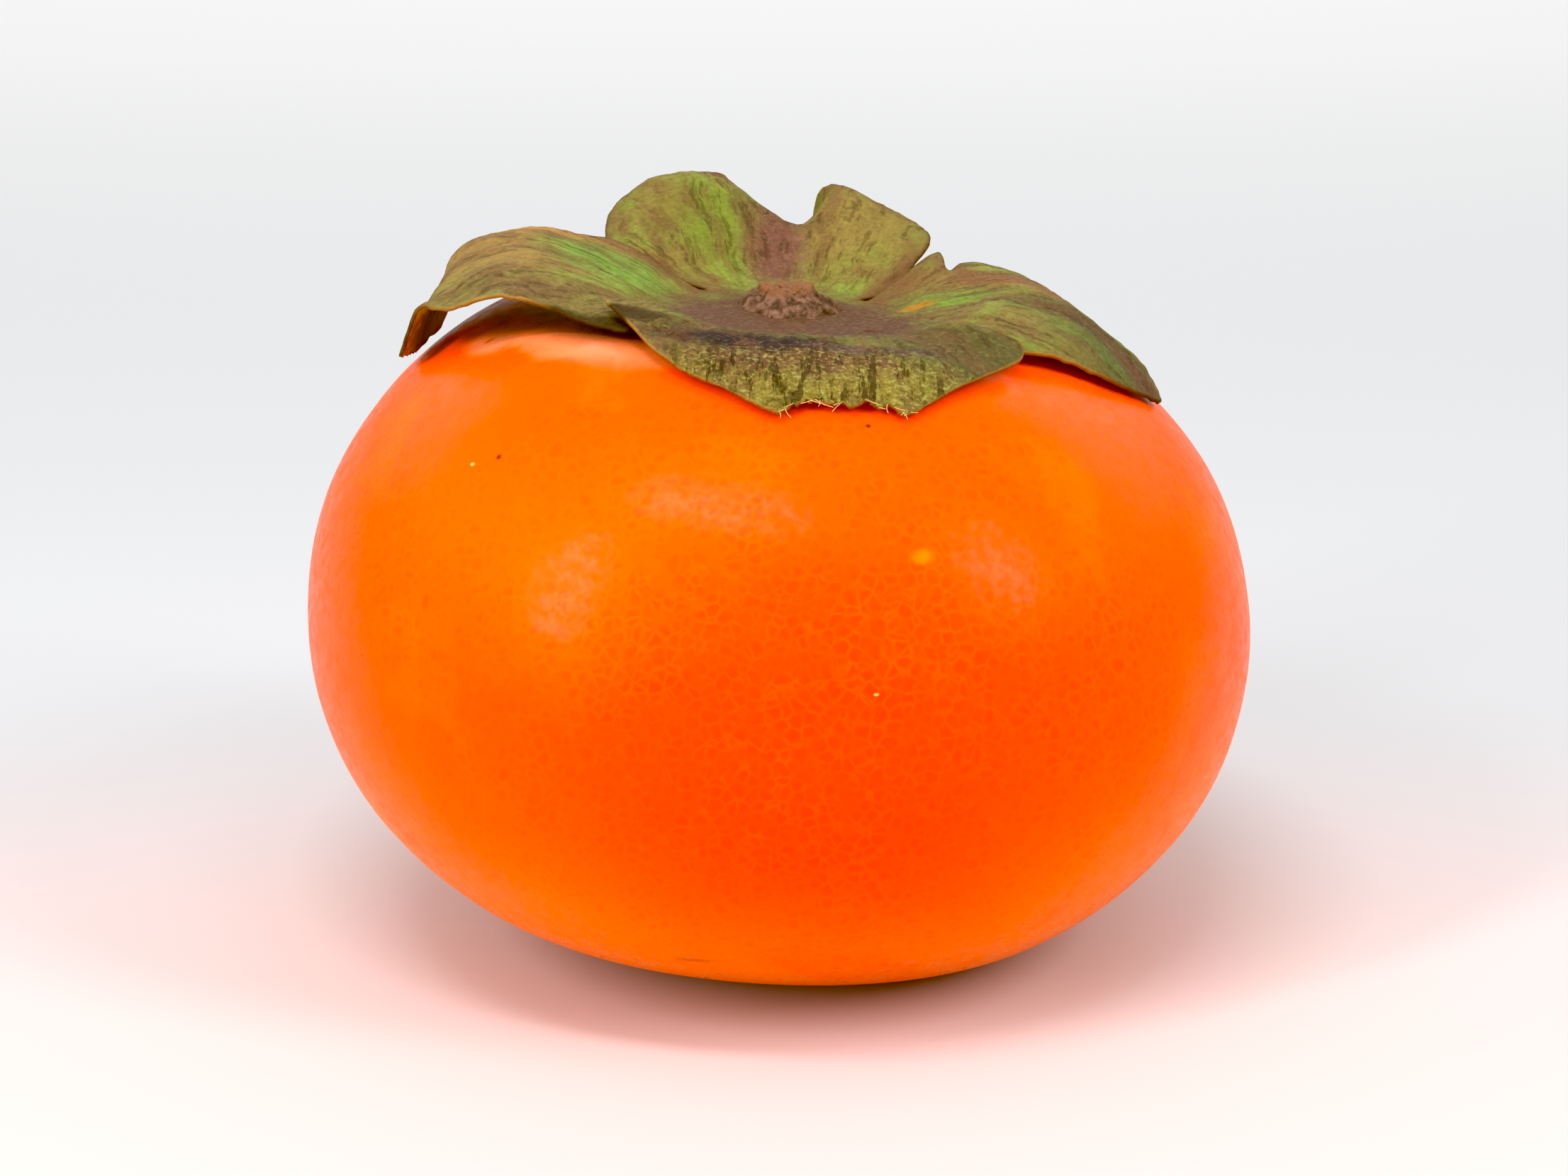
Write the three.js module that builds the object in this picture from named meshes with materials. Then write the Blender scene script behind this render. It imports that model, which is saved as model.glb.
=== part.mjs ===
// A squat sweet persimmon, as picked: the fruit, its four-lobed calyx and the broken stub of its stem.
// Millimetres, +Z up. The origin is on the surface that the fruit rests on, under its middle.
// The fruit leans a little towards +X. The calyx lobes point to -Y (front), +X, +Y and -X.

import * as THREE from 'three';

const degree = Math.PI / 180;

// The fruit is a radius about its middle, as a short series of waves in the elevation.
const middleHeight = 28.7;
const form = {
  mean: 33.5,
  bottomHeavy: -2.24,
  squat: 5.95,
  taper: -0.27,
  shoulder: -0.22,
  leanOffset: -0.53,
  lean: -1.2,
  leanTaper: 0.07,
  leanShoulder: 0.27,
  fourSided: 0.3,
};
const lowestShoulder = 15 * degree;
const halvings = 40;
const fruitSegments = 64;
const fruitRings = 34;

// The top has a wide shallow seat for the calyx, and the blossom end has a small dimple.
const seat = { height: 51.1, slope: 0.06, radius: 20 };
const dimple = { x: -1.5, radius: 5, depth: 1.6 };

// The calyx is one leathery sheet: a disc round the stem, with four lobes.
const sheetThickness = 0.7;
const disc = { radius: 9.5, innerRadius: 6.6, lift: 1.05, ridge: 0.4, ridgeRadius: 5.4, rings: 3 };
const lobeRootHalfAngle = 42 * degree;
const columnsPerLobe = 14;
const rowsPerSection = 2;

// Each lobe is drawn by sections across it, from the root out to the tip, each running
// anticlockwise seen from above. A point is x, y and the height of the sheet's top above the skin.
const lobes = [
  // The front lobe folds down over the shoulder, and its outer edge is torn off.
  {
    direction: -90 * degree,
    sections: [
      [
        [-9.4, -9.6, 2.1], [-7.2, -12, 1.8], [-3.7, -13.8, 1.6], [0, -14.4, 1.6],
        [4.2, -13.8, 1.6], [8, -12, 1.5], [10.6, -9.8, 1.9],
      ],
      [
        [-13.6, -11, 2.4], [-9.8, -14.8, 1.9], [-4.8, -17.2, 1.3], [0.3, -18, 1.3],
        [6, -17.2, 1.3], [11.4, -14.4, 1.5], [14, -11.2, 2.8],
      ],
      [
        [-12.9, -14.2, 2.3], [-8.5, -18.2, 1.5], [-4, -20.2, 1.2], [1, -20.9, 1.2],
        [6.5, -20.1, 1.2], [12.5, -17.6, 1.4], [18.6, -14.2, 2.1],
      ],
      [
        [-8.8, -21.9, 1.4], [-5.5, -22.9, 1.2], [-2, -23.6, 1.2], [2, -23.6, 1.2],
        [6, -23.2, 1.2], [10, -22, 1.2], [14.2, -20.2, 1.3],
      ],
      [
        [-0.5, -27.2, 1.2], [0.9, -26.3, 1.2], [2.4, -25.7, 1.2], [4.3, -25.9, 1.2],
        [6.3, -25.4, 1.2], [7.8, -25.4, 1.2], [9.4, -25.5, 1.2],
      ],
    ],
  },
  // The right lobe droops along the shoulder. Its rear edge curls up into a small ear.
  {
    direction: 0,
    sections: [
      [[10.2, -8.8, 1], [12.1, -4.4, 1.5], [12.6, 0, 1.8], [12.2, 4.4, 2], [11, 7.4, 1.8], [9.9, 9, 2.5]],
      [
        [13.2, -11.2, 1], [14.9, -5.6, 2], [15.4, 0, 2.4],
        [14.6, 5, 2.5], [12.7, 8.4, 2.6], [13.1, 12.5, 3.8],
      ],
      [
        [15, -12.3, 1], [16.4, -6.3, 2.2], [16.9, 0, 2.7],
        [16.3, 5, 2.8], [14.6, 7.8, 2.8], [13.9, 9.9, 2.9],
      ],
      [
        [17.2, -12.7, 1.05], [18.1, -7, 2.3], [18.6, 0, 2.9],
        [18.4, 5.4, 3.1], [16.6, 9.6, 3.1], [15.6, 12.5, 3.2],
      ],
      [[22.2, -11, 1.6], [23, -6, 2.3], [23.4, 0, 2.8], [23.4, 5.4, 2.9], [22.7, 9, 3], [21.6, 12, 3.2]],
      [[26.2, -8.8, 1.3], [27, -4.8, 1.8], [27.4, 0, 2.2], [27.3, 3.2, 2.3], [27, 5.6, 2.2], [26.4, 8, 2.2]],
      [
        [28.9, -5.6, 1.1], [29.4, -2.8, 1.7], [29.5, 0, 2.2],
        [29.3, 1.8, 2.3], [29, 3.4, 2.2], [28.6, 5, 2],
      ],
      [
        [30.6, -3, 1], [30.8, -2, 1.1], [30.8, -1.2, 1.3],
        [30.7, -0.4, 1.5], [30.5, 0.4, 1.5], [30.3, 1.2, 1.5],
      ],
    ],
  },
  // The back lobe stands up on both sides of its middle, which folds down behind.
  {
    direction: 90 * degree,
    sections: [
      [
        [9.3, 9.5, 1.2], [6.9, 11.4, 2], [4, 12.7, 2.1], [1, 13, 1.7],
        [-3.2, 12.9, 2.1], [-7, 11.4, 1.9], [-10.2, 9, 1.1],
      ],
      [
        [11.4, 13.4, 2.9], [8.8, 15.6, 4.3], [4.6, 17, 4.7], [1.1, 17.2, 3.2],
        [-4.4, 17.2, 4.9], [-9.4, 15.6, 4.4], [-14.4, 11.4, 1.6],
      ],
      [
        [12.6, 16, 4.4], [9.4, 19, 5.9], [4.6, 20.6, 6.8], [1.2, 20.6, 4.3],
        [-5.6, 21, 7.5], [-10.8, 19.8, 7.4], [-15.4, 16.2, 3.8],
      ],
      [
        [11.8, 18.6, 5.3], [9, 21.2, 6.8], [4.2, 23, 8], [1.4, 24.2, 3.4],
        [-5.8, 23.6, 8.8], [-10.6, 22.6, 9], [-15, 19.2, 5.8],
      ],
      [
        [10.9, 20.4, 6], [8.3, 22.6, 7.4], [3.3, 24.4, 8.5], [1.5, 27.4, 1.3],
        [-5.2, 24.6, 9], [-9.4, 24.3, 9.5], [-13.8, 21, 7.2],
      ],
    ],
  },
  // The left lobe arches clear of the skin, and its tip hangs down as a flap.
  {
    direction: 180 * degree,
    sections: [
      [
        [-9.4, 7.8, 1.8], [-10.9, 3.6, 1.6], [-11.4, -0.6, 1.5],
        [-11.2, -4, 1.3], [-10.5, -6.4, 1.1], [-9.4, -8.4, 0.95],
      ],
      [
        [-11.8, 9.4, 2.7], [-13, 4, 2.4], [-13.2, -1, 2.2],
        [-12.9, -5.5, 1.8], [-12.4, -9.5, 1.2], [-11.8, -15.2, 1],
      ],
      [
        [-17.3, 13, 3.6], [-17.9, 7, 3.7], [-18, 0, 3.3],
        [-17.6, -6, 2.9], [-16.9, -10, 2.3], [-15.6, -13.4, 1.2],
      ],
      [
        [-22.5, 14.3, 5.8], [-23.2, 8, 5.5], [-23.2, 1, 4.8],
        [-22.8, -5, 4.4], [-22, -9.6, 4.3], [-21.2, -13, 4.2],
      ],
      [
        [-26.4, 12, 5.9], [-27.1, 8, 6.1], [-27.3, 3, 5.2],
        [-27, -3, 4.6], [-26.6, -7.4, 4.8], [-26, -11, 5.2],
      ],
      [
        [-28.6, 5.4, 1.3], [-28.7, 4.4, 2.8], [-28.8, 2.4, 3.5],
        [-28.9, -0.6, 4], [-29.1, -3.6, 4.5], [-29.4, -6.4, 5.4],
      ],
      [
        [-30.4, 1, 0.9], [-30.6, 0.4, 1.1], [-30.8, -0.4, 1.4],
        [-30.9, -1.2, 1.6], [-31, -2, 1.9], [-31.1, -3, 2.2],
      ],
    ],
  },
];

// The stem broke off just above the calyx. Its outline runs from the foot, over the ragged rim of
// the break, to the pit inside it: radius, height and how ragged it is there.
const stub = { x: 0.1, clearance: 0.3, pitHeight: 1.1, segments: 24 };
const stubOutline = [[3.7, 0, 0], [3.2, 0.5, 0], [2.3, 1.05, 0], [2, 1.5, 0.16], [1.1, 1.2, 0.1]];

// The stub isn't quite round, and the break's height goes up and down round it. Each wave has its
// size, the number of times it goes round and where it starts.
const roundness = [{ size: 0.06, times: 3, start: 0 }, { size: 0.05, times: 5, start: 90 * degree }];
const splinters = [
  { size: 1, times: 2, start: 35 * degree },
  { size: 0.6, times: 5, start: 0 },
  { size: 0.5, times: 7, start: 90 * degree },
];

const skinMaterial = new THREE.MeshStandardMaterial({ color: 0xff5a05, roughness: 0.28, metalness: 0 });
const calyxMaterial = new THREE.MeshStandardMaterial({ color: 0x6f7434, roughness: 0.75, metalness: 0 });
const stubMaterial = new THREE.MeshStandardMaterial({ color: 0x5a3426, roughness: 0.9, metalness: 0 });

function skinRadius(azimuth, elevation) {
  const flatness = Math.cos(elevation);
  const round = form.mean + form.bottomHeavy * Math.sin(elevation) + form.squat * Math.cos(2 * elevation)
    + form.taper * Math.sin(3 * elevation) + form.shoulder * Math.cos(4 * elevation);
  const leaning = form.leanOffset * flatness + form.lean * Math.sin(2 * elevation)
    + form.leanTaper * Math.cos(3 * elevation) + form.leanShoulder * Math.sin(4 * elevation);
  return round + leaning * Math.cos(azimuth) - form.fourSided * Math.cos(4 * azimuth) * flatness ** 2;
}

// How far a point on the upper half comes down, or up, onto the calyx's seat.
function seatShift(x, y, z) {
  const share = Math.exp(-(((x * x + y * y) / seat.radius ** 2) ** 2));
  return share * (seat.height - seat.slope * x - z);
}

function dimpleRise(x, y) {
  const away = ((x - dimple.x) ** 2 + y * y) / dimple.radius ** 2;
  return away < 1 ? dimple.depth * (1 - away) ** 2 : 0;
}

function skinPoint(azimuth, elevation) {
  const radius = skinRadius(azimuth, elevation);
  const x = radius * Math.cos(elevation) * Math.cos(azimuth);
  const y = radius * Math.cos(elevation) * Math.sin(azimuth);
  const z = middleHeight + radius * Math.sin(elevation);
  if (elevation > 0) return new THREE.Vector3(x, y, z + seatShift(x, y, z));
  return new THREE.Vector3(x, y, Math.max(z, 0) + dimpleRise(x, y));
}

// The height of the upper skin above the point x, y, found by halving the range of elevations.
function skinHeight(x, y) {
  const azimuth = Math.atan2(y, x);
  const reach = Math.hypot(x, y);
  let low = lowestShoulder;
  let high = 90 * degree;
  for (let step = 0; step < halvings; step += 1) {
    const middle = (low + high) / 2;
    if (skinRadius(azimuth, middle) * Math.cos(middle) > reach) low = middle;
    else high = middle;
  }
  return skinPoint(azimuth, low).z;
}

function meshGeometry(points, triangles) {
  const geometry = new THREE.BufferGeometry();
  geometry.setAttribute('position', new THREE.Float32BufferAttribute(points.flatMap((p) => p.toArray()), 3));
  geometry.setIndex(triangles);
  geometry.computeVertexNormals();
  return geometry;
}

// A closed body from rings of points, each anticlockwise seen from above, and a point at each end.
function ringedGeometry(bottom, rings, top) {
  const points = [bottom, ...rings.flat(), top];
  const count = rings[0].length;
  const triangles = [];
  for (let i = 0; i < count; i += 1) {
    const next = (i + 1) % count;
    const lastRing = 1 + (rings.length - 1) * count;
    triangles.push(0, 1 + next, 1 + i);
    triangles.push(points.length - 1, lastRing + i, lastRing + next);
    for (let ring = 0; ring < rings.length - 1; ring += 1) {
      const below = 1 + ring * count;
      const above = below + count;
      triangles.push(below + i, below + next, above + next, below + i, above + next, above + i);
    }
  }
  return meshGeometry(points, triangles);
}

function fruitGeometry() {
  const rings = [];
  for (let ring = 1; ring < fruitRings; ring += 1) {
    const elevation = (-90 + (180 * ring) / fruitRings) * degree;
    const points = [];
    for (let i = 0; i < fruitSegments; i += 1) {
      points.push(skinPoint((360 * degree * i) / fruitSegments, elevation));
    }
    rings.push(points);
  }
  return ringedGeometry(skinPoint(0, -90 * degree), rings, skinPoint(0, 90 * degree));
}

function aboveSkin(x, y, lift) {
  return new THREE.Vector3(x, y, skinHeight(x, y) + lift);
}

function discPoint(azimuth, radius) {
  const x = radius * Math.cos(azimuth);
  const y = radius * Math.sin(azimuth);
  return aboveSkin(x, y, disc.lift + disc.ridge * Math.exp(-((radius / disc.ridgeRadius) ** 4)));
}

function rootAzimuth(lobe, column) {
  return lobe.direction + lobeRootHalfAngle * ((2 * column) / columnsPerLobe - 1);
}

// One column of a lobe, from its root to its tip, as lift over the skin along a smooth curve.
function lobeColumn(lobe, column) {
  const share = column / columnsPerLobe;
  const azimuth = rootAzimuth(lobe, column);
  const alongDisc = [disc.innerRadius, disc.radius].map((radius) => (
    new THREE.Vector3(radius * Math.cos(azimuth), radius * Math.sin(azimuth), disc.lift)
  ));
  const across = lobe.sections.map((section) => (
    new THREE.CatmullRomCurve3(section.map((point) => new THREE.Vector3(...point))).getPoint(share)
  ));
  const curve = new THREE.CatmullRomCurve3([...alongDisc, ...across]);
  const rows = across.length * rowsPerSection;
  const points = [];
  for (let row = 1; row <= rows; row += 1) {
    const point = curve.getPoint((1 + row / rowsPerSection) / (across.length + 1));
    points.push(aboveSkin(point.x, point.y, point.z));
  }
  return points;
}

// A closed sheet of even thickness under a surface that is given by its points and triangles.
function thickened(points, triangles, thickness) {
  const normals = meshGeometry(points, triangles).getAttribute('normal');
  const under = points.map((point, i) => (
    point.clone().addScaledVector(new THREE.Vector3().fromBufferAttribute(normals, i), -thickness)
  ));
  const edges = new Map();
  for (let i = 0; i < triangles.length; i += 3) {
    for (let side = 0; side < 3; side += 1) {
      const from = triangles[i + side];
      const to = triangles[i + ((side + 1) % 3)];
      if (!edges.delete(`${to} ${from}`)) edges.set(`${from} ${to}`, [from, to]);
    }
  }
  const count = points.length;
  const closed = [...triangles];
  for (let i = 0; i < triangles.length; i += 3) {
    closed.push(triangles[i] + count, triangles[i + 2] + count, triangles[i + 1] + count);
  }
  for (const [from, to] of edges.values()) {
    closed.push(from, from + count, to + count, from, to + count, to);
  }
  return meshGeometry([...points, ...under], closed);
}

function calyxGeometry() {
  const azimuths = lobes.flatMap((lobe) => (
    Array.from({ length: columnsPerLobe + 1 }, (_, column) => rootAzimuth(lobe, column))
  ));
  const around = azimuths.length;
  const points = [discPoint(0, 0)];
  const triangles = [];
  for (let ring = 1; ring <= disc.rings; ring += 1) {
    points.push(...azimuths.map((azimuth) => discPoint(azimuth, (disc.radius * ring) / disc.rings)));
  }
  for (let i = 0; i < around; i += 1) {
    const next = (i + 1) % around;
    triangles.push(0, 1 + i, 1 + next);
    for (let ring = 1; ring < disc.rings; ring += 1) {
      const inner = 1 + (ring - 1) * around;
      const outer = inner + around;
      triangles.push(inner + i, outer + i, outer + next, inner + i, outer + next, inner + next);
    }
  }
  const lastRing = 1 + (disc.rings - 1) * around;
  lobes.forEach((lobe, index) => {
    const rows = lobe.sections.length * rowsPerSection;
    const first = points.length;
    for (let column = 0; column <= columnsPerLobe; column += 1) points.push(...lobeColumn(lobe, column));
    const at = (column, row) => (
      row === 0 ? lastRing + index * (columnsPerLobe + 1) + column : first + column * rows + row - 1
    );
    for (let column = 0; column < columnsPerLobe; column += 1) {
      for (let row = 0; row < rows; row += 1) {
        const [a, b] = [at(column, row), at(column, row + 1)];
        const [c, d] = [at(column + 1, row + 1), at(column + 1, row)];
        triangles.push(a, b, c, a, c, d);
      }
    }
  });
  return thickened(points, triangles, sheetThickness);
}

function wavesAt(waves, azimuth) {
  return waves.reduce((sum, wave) => sum + wave.size * Math.sin(wave.times * azimuth + wave.start), 0);
}

// A low mound with a ragged broken top.
function stubGeometry() {
  const foot = skinHeight(stub.x, 0) + disc.lift + disc.ridge + stub.clearance;
  const rings = stubOutline.map(([radius, height, ragged]) => (
    Array.from({ length: stub.segments }, (_, i) => {
      const azimuth = (360 * degree * i) / stub.segments;
      const reach = radius * (1 + wavesAt(roundness, azimuth));
      const x = stub.x + reach * Math.cos(azimuth);
      const z = foot + height + ragged * wavesAt(splinters, azimuth);
      return new THREE.Vector3(x, reach * Math.sin(azimuth), z);
    })
  ));
  const bottom = new THREE.Vector3(stub.x, 0, foot);
  return ringedGeometry(bottom, rings, new THREE.Vector3(stub.x, 0, foot + stub.pitHeight));
}

function named(name, geometry, material) {
  const mesh = new THREE.Mesh(geometry, material);
  mesh.name = name;
  return mesh;
}

const persimmon = new THREE.Group();
const fruit = named('fruit', fruitGeometry(), skinMaterial);
persimmon.add(fruit);
persimmon.add(named('calyx', calyxGeometry(), calyxMaterial));
persimmon.add(named('stem_stub', stubGeometry(), stubMaterial));

// The middle of the fruit, seen from above, goes over the origin.
fruit.geometry.computeBoundingBox();
const middle = fruit.geometry.boundingBox.getCenter(new THREE.Vector3());
persimmon.position.set(-middle.x, -middle.y, 0);

export default persimmon;
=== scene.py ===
# A squat sweet persimmon with its four-lobed calyx, on a plain pale floor in soft light.
# +Z is up. The fruit stands over the origin, and the camera looks along +Y. The fruit's settings are in
# millimetres, and those of the camera, the floor and the lamps are in metres.
import random
from math import cos, hypot, pi, radians, sin

import bpy
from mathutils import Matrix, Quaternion, Vector, noise
from mathutils.kdtree import KDTree


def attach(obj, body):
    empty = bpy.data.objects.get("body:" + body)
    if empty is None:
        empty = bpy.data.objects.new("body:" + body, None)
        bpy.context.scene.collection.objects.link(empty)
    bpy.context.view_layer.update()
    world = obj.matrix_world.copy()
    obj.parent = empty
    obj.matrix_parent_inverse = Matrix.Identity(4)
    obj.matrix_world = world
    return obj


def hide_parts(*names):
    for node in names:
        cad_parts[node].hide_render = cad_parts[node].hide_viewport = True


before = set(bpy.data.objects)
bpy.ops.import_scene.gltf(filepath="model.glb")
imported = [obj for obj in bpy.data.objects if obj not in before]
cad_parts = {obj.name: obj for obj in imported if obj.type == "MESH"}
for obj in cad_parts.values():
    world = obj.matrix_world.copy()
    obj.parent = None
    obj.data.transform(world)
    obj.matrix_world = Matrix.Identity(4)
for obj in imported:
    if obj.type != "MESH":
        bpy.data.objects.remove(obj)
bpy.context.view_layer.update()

mm = 0.001
stemX = 0.48  # how far to the right of the origin the stem stands


# Small helpers for picking, shaping and finishing meshes

mergeDistance = 0.002 * mm
quadAngle = radians(70)  # two triangles become a quad where it would be bent less than this


def pickOnly(piece):
    bpy.ops.object.select_all(action="DESELECT")
    piece.select_set(True)
    bpy.context.view_layer.objects.active = piece


# A new piece from a CAD node's own form, with its loose triangles merged into quads.
def copyOfNode(node, name):
    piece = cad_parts[node].copy()
    piece.data = piece.data.copy()
    piece.name = piece.data.name = name
    for key in [key for key in piece.keys() if key.startswith("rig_")]:
        del piece[key]
    piece.parent = None
    bpy.context.scene.collection.objects.link(piece)
    piece.data.materials.clear()
    pickOnly(piece)
    bpy.ops.object.mode_set(mode="EDIT")
    bpy.ops.mesh.select_all(action="SELECT")
    bpy.ops.mesh.remove_doubles(threshold=mergeDistance)
    bpy.ops.mesh.tris_convert_to_quads(face_threshold=quadAngle, shape_threshold=quadAngle)
    bpy.ops.object.mode_set(mode="OBJECT")
    return piece


# Rounds a piece off. Smoothing pulls a form inwards, so the points first move out by as much as
# they would be pulled in, and the smooth surface then passes through their old places.
def subdivide(piece, levels, tries=4):
    mesh = piece.data
    wanted = [vertex.co.copy() for vertex in mesh.vertices]
    modifier = piece.modifiers.new("smooth", "SUBSURF")
    modifier.levels = modifier.render_levels = levels
    modifier.boundary_smooth = "PRESERVE_CORNERS"
    for _ in range(tries):
        smooth = piece.evaluated_get(bpy.context.evaluated_depsgraph_get()).data
        for vertex, target in zip(mesh.vertices, wanted):
            vertex.co += target - smooth.vertices[vertex.index].co
        mesh.update()
        piece.update_tag()
    pickOnly(piece)
    bpy.ops.object.modifier_apply(modifier=modifier.name)


# Moves every vertex by rule(place, normal, index). Place and result are in millimetres.
def moveVertices(piece, rule):
    mesh = piece.data
    normals = [Vector(entry.vector) for entry in mesh.vertex_normals]
    for vertex, normal in zip(mesh.vertices, normals):
        vertex.co += rule(vertex.co / mm, normal, vertex.index) * mm
    mesh.update()


def finishPiece(piece, node, slotName, *materials):
    for material in materials:
        piece.data.materials.append(material)
    pickOnly(piece)
    bpy.ops.object.shade_smooth()
    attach(piece, "root")
    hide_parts(node)


# From 0 to 1 as the value goes from the first to the second, with soft ends.
def ease(first, second, value):
    share = min(max((value - first) / (second - first), 0), 1)
    return share * share * (3 - 2 * share)


# From 1 at no distance down to nothing well beyond the reach.
def bell(distance, reach):
    return 2.718 ** -((distance / reach) ** 2)


# Noise with finer noise added, whose size and strength are shares of the first one's.
def roughNoise(place, size, finer, weaker):
    return noise.noise(place / size) + weaker * noise.noise(place / (finer * size))


# Helpers for node trees

noiseMiddle = 0.5  # the middle of a noise texture's values
noiseGain = 4.0  # such values mostly stray a quarter from the middle, and this makes it a whole


# A colour as it is seen on a screen, 0 to 255, turned to the linear values that a node takes.
def paint(red, green, blue):
    def linear(value):
        value /= 255
        return value / 12.92 if value <= 0.04045 else ((value + 0.055) / 1.055) ** 2.4
    return (linear(red), linear(green), linear(blue), 1)


# Sets a socket, or links it where the value is a socket too.
def feed(tree, socket, value):
    if isinstance(value, bpy.types.NodeSocket):
        tree.links.new(value, socket)
    else:
        socket.default_value = value


def addNode(tree, kind, inputs=(), **settings):
    node = tree.nodes.new("ShaderNode" + kind)
    for setting, value in settings.items():
        setattr(node, setting, value)
    for name, value in dict(inputs).items():
        feed(tree, node.inputs[name], value)
    return node


def plus(tree, first, second):
    return addNode(tree, "Math", {0: first, 1: second}, operation="ADD").outputs[0]


def minus(tree, first, second):
    return addNode(tree, "Math", {0: first, 1: second}, operation="SUBTRACT").outputs[0]


def times(tree, first, second):
    return addNode(tree, "Math", {0: first, 1: second}, operation="MULTIPLY").outputs[0]


# A soft step from one value to the other as the input goes from low to high.
def ramp(tree, value, low, high, atLow=0.0, atHigh=1.0):
    inputs = {"Value": value, "From Min": low, "From Max": high, "To Min": atLow, "To Max": atHigh}
    return addNode(tree, "MapRange", inputs, interpolation_type="SMOOTHSTEP").outputs[0]


def mix(tree, share, first, second):
    node = addNode(tree, "Mix", data_type="RGBA")
    for index, value in ((0, share), (6, first), (7, second)):
        feed(tree, node.inputs[index], value)
    return node.outputs[2]


# More detail adds finer noise, and roughness makes the finer noise stronger.
def noiseAt(tree, place, scale, detail=2.0, roughness=0.5):
    inputs = {"Vector": place, "Scale": scale, "Detail": detail, "Roughness": roughness}
    return addNode(tree, "TexNoise", inputs).outputs[0]


def join(tree, operation, first, second):
    return addNode(tree, "VectorMath", {0: first, 1: second}, operation=operation).outputs[0]


def scaleBy(tree, vector, factor):
    return addNode(tree, "VectorMath", {0: vector, "Scale": factor}, operation="SCALE").outputs[0]


def lengthOf(tree, vector):
    return addNode(tree, "VectorMath", {0: vector}, operation="LENGTH").outputs["Value"]


def partsOf(tree, vector):
    return addNode(tree, "SeparateXYZ", {0: vector}).outputs


# The place on the piece in millimetres.
def placeInMillimetres(tree):
    return scaleBy(tree, addNode(tree, "TexCoord").outputs["Object"], 1 / mm)


def newMaterial(name, constants):
    material = bpy.data.materials.new(name)
    material.use_nodes = True
    tree = material.node_tree
    tree.nodes.clear()
    shader = addNode(tree, "BsdfPrincipled", constants)
    addNode(tree, "OutputMaterial", {0: shader.outputs[0]})
    return material, tree, shader


def setBump(tree, shader, height, strength, distance):
    inputs = {"Height": height, "Strength": strength, "Distance": distance * mm}
    feed(tree, shader.inputs["Normal"], addNode(tree, "Bump", inputs).outputs[0])


def newGroup(name, inputs, outputs):
    tree = bpy.data.node_groups.new(name, "ShaderNodeTree")
    for socketName, (kind, value) in inputs.items():
        socket = tree.interface.new_socket(socketName, in_out="INPUT", socket_type="NodeSocket" + kind)
        if value is not None:
            socket.default_value = value
    for socketName in outputs:
        tree.interface.new_socket(socketName, in_out="OUTPUT", socket_type="NodeSocketFloat")
    return tree, tree.nodes.new("NodeGroupInput").outputs, tree.nodes.new("NodeGroupOutput").inputs


def useGroup(tree, group, **inputs):
    node = tree.nodes.new("ShaderNodeGroup")
    node.node_tree = group
    for name, value in inputs.items():
        feed(tree, node.inputs[name], value)
    return node.outputs


# An oval patch with a soft ragged edge, as a mask.
def makePatchGroup():
    sockets = {
        "Place": ("Vector", None),
        "Middle": ("Vector", None),
        "Reach": ("Vector", (1, 1, 1)),
        "Soft": ("Float", 0.5),
        "Ragged": ("Float", 0.2),
        "Grain": ("Float", 0.3),
    }
    tree, given, out = newGroup("ragged patch", sockets, ["Mask"])
    away = join(tree, "SUBTRACT", given["Place"], given["Middle"])
    distance = lengthOf(tree, join(tree, "DIVIDE", away, given["Reach"]))
    grain = noiseAt(tree, given["Place"], given["Grain"], 3.0, 0.6)
    wobble = times(tree, minus(tree, grain, noiseMiddle), given["Ragged"])
    edge = plus(tree, distance, times(tree, wobble, noiseGain))
    inner = minus(tree, 1.0, given["Soft"])
    outer = plus(tree, 1.0, given["Soft"])
    feed(tree, out["Mask"], ramp(tree, edge, inner, outer, 1.0, 0.0))
    return tree


# Lines that run out from the stem, as broad and as fine streaks of light and dark. They are read on a
# ring, so that they have no seam.
def makeRibGroup():
    sockets = {
        "Place": ("Vector", None),
        "Count": ("Float", 8.0),
        "Stretch": ("Float", 0.07),
        "Bend": ("Float", 1.4),
        "Wander": ("Float", 0.2),
        "Finer": ("Float", 3.2),
    }
    tree, given, out = newGroup("ribs from the stem", sockets, ["Broad", "Fine"])
    flat = join(tree, "MULTIPLY", given["Place"], (1, 1, 0))
    way = addNode(tree, "VectorMath", {0: flat}, operation="NORMALIZE").outputs[0]
    ring = scaleBy(tree, way, given["Count"])
    wander = minus(tree, noiseAt(tree, given["Place"], given["Wander"]), noiseMiddle)
    bend = times(tree, wander, given["Bend"])
    along = times(tree, lengthOf(tree, flat), given["Stretch"])
    lift = addNode(tree, "CombineXYZ", {0: bend, 1: bend, 2: along}).outputs[0]
    place = join(tree, "ADD", ring, lift)
    feed(tree, out["Broad"], noiseAt(tree, place, 1.0, 3.0, 0.6))
    feed(tree, out["Fine"], noiseAt(tree, place, given["Finer"], 3.0, 0.6))
    return tree


patchGroup = makePatchGroup()
ribGroup = makeRibGroup()


# A patch is a middle and a reach each way. It may say how soft and ragged its edge is, and how fine the
# ragged edge's grain is, and otherwise the group's own values hold.
def patchMask(tree, place, patch):
    shape = {name.capitalize(): patch[name] for name in ("middle", "reach", "soft", "ragged", "grain")
             if name in patch}
    return useGroup(tree, patchGroup, Place=place, **shape)["Mask"]


# Paints one colour after the other over a base, each in a patch.
def paintPatches(tree, place, base, patches):
    colour = base
    for patch in patches:
        share = times(tree, patchMask(tree, place, patch), patch.get("strength", 1.0))
        colour = mix(tree, share, colour, paint(*patch["colour"]))
    return colour


# The camera, where the picture was taken from

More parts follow.
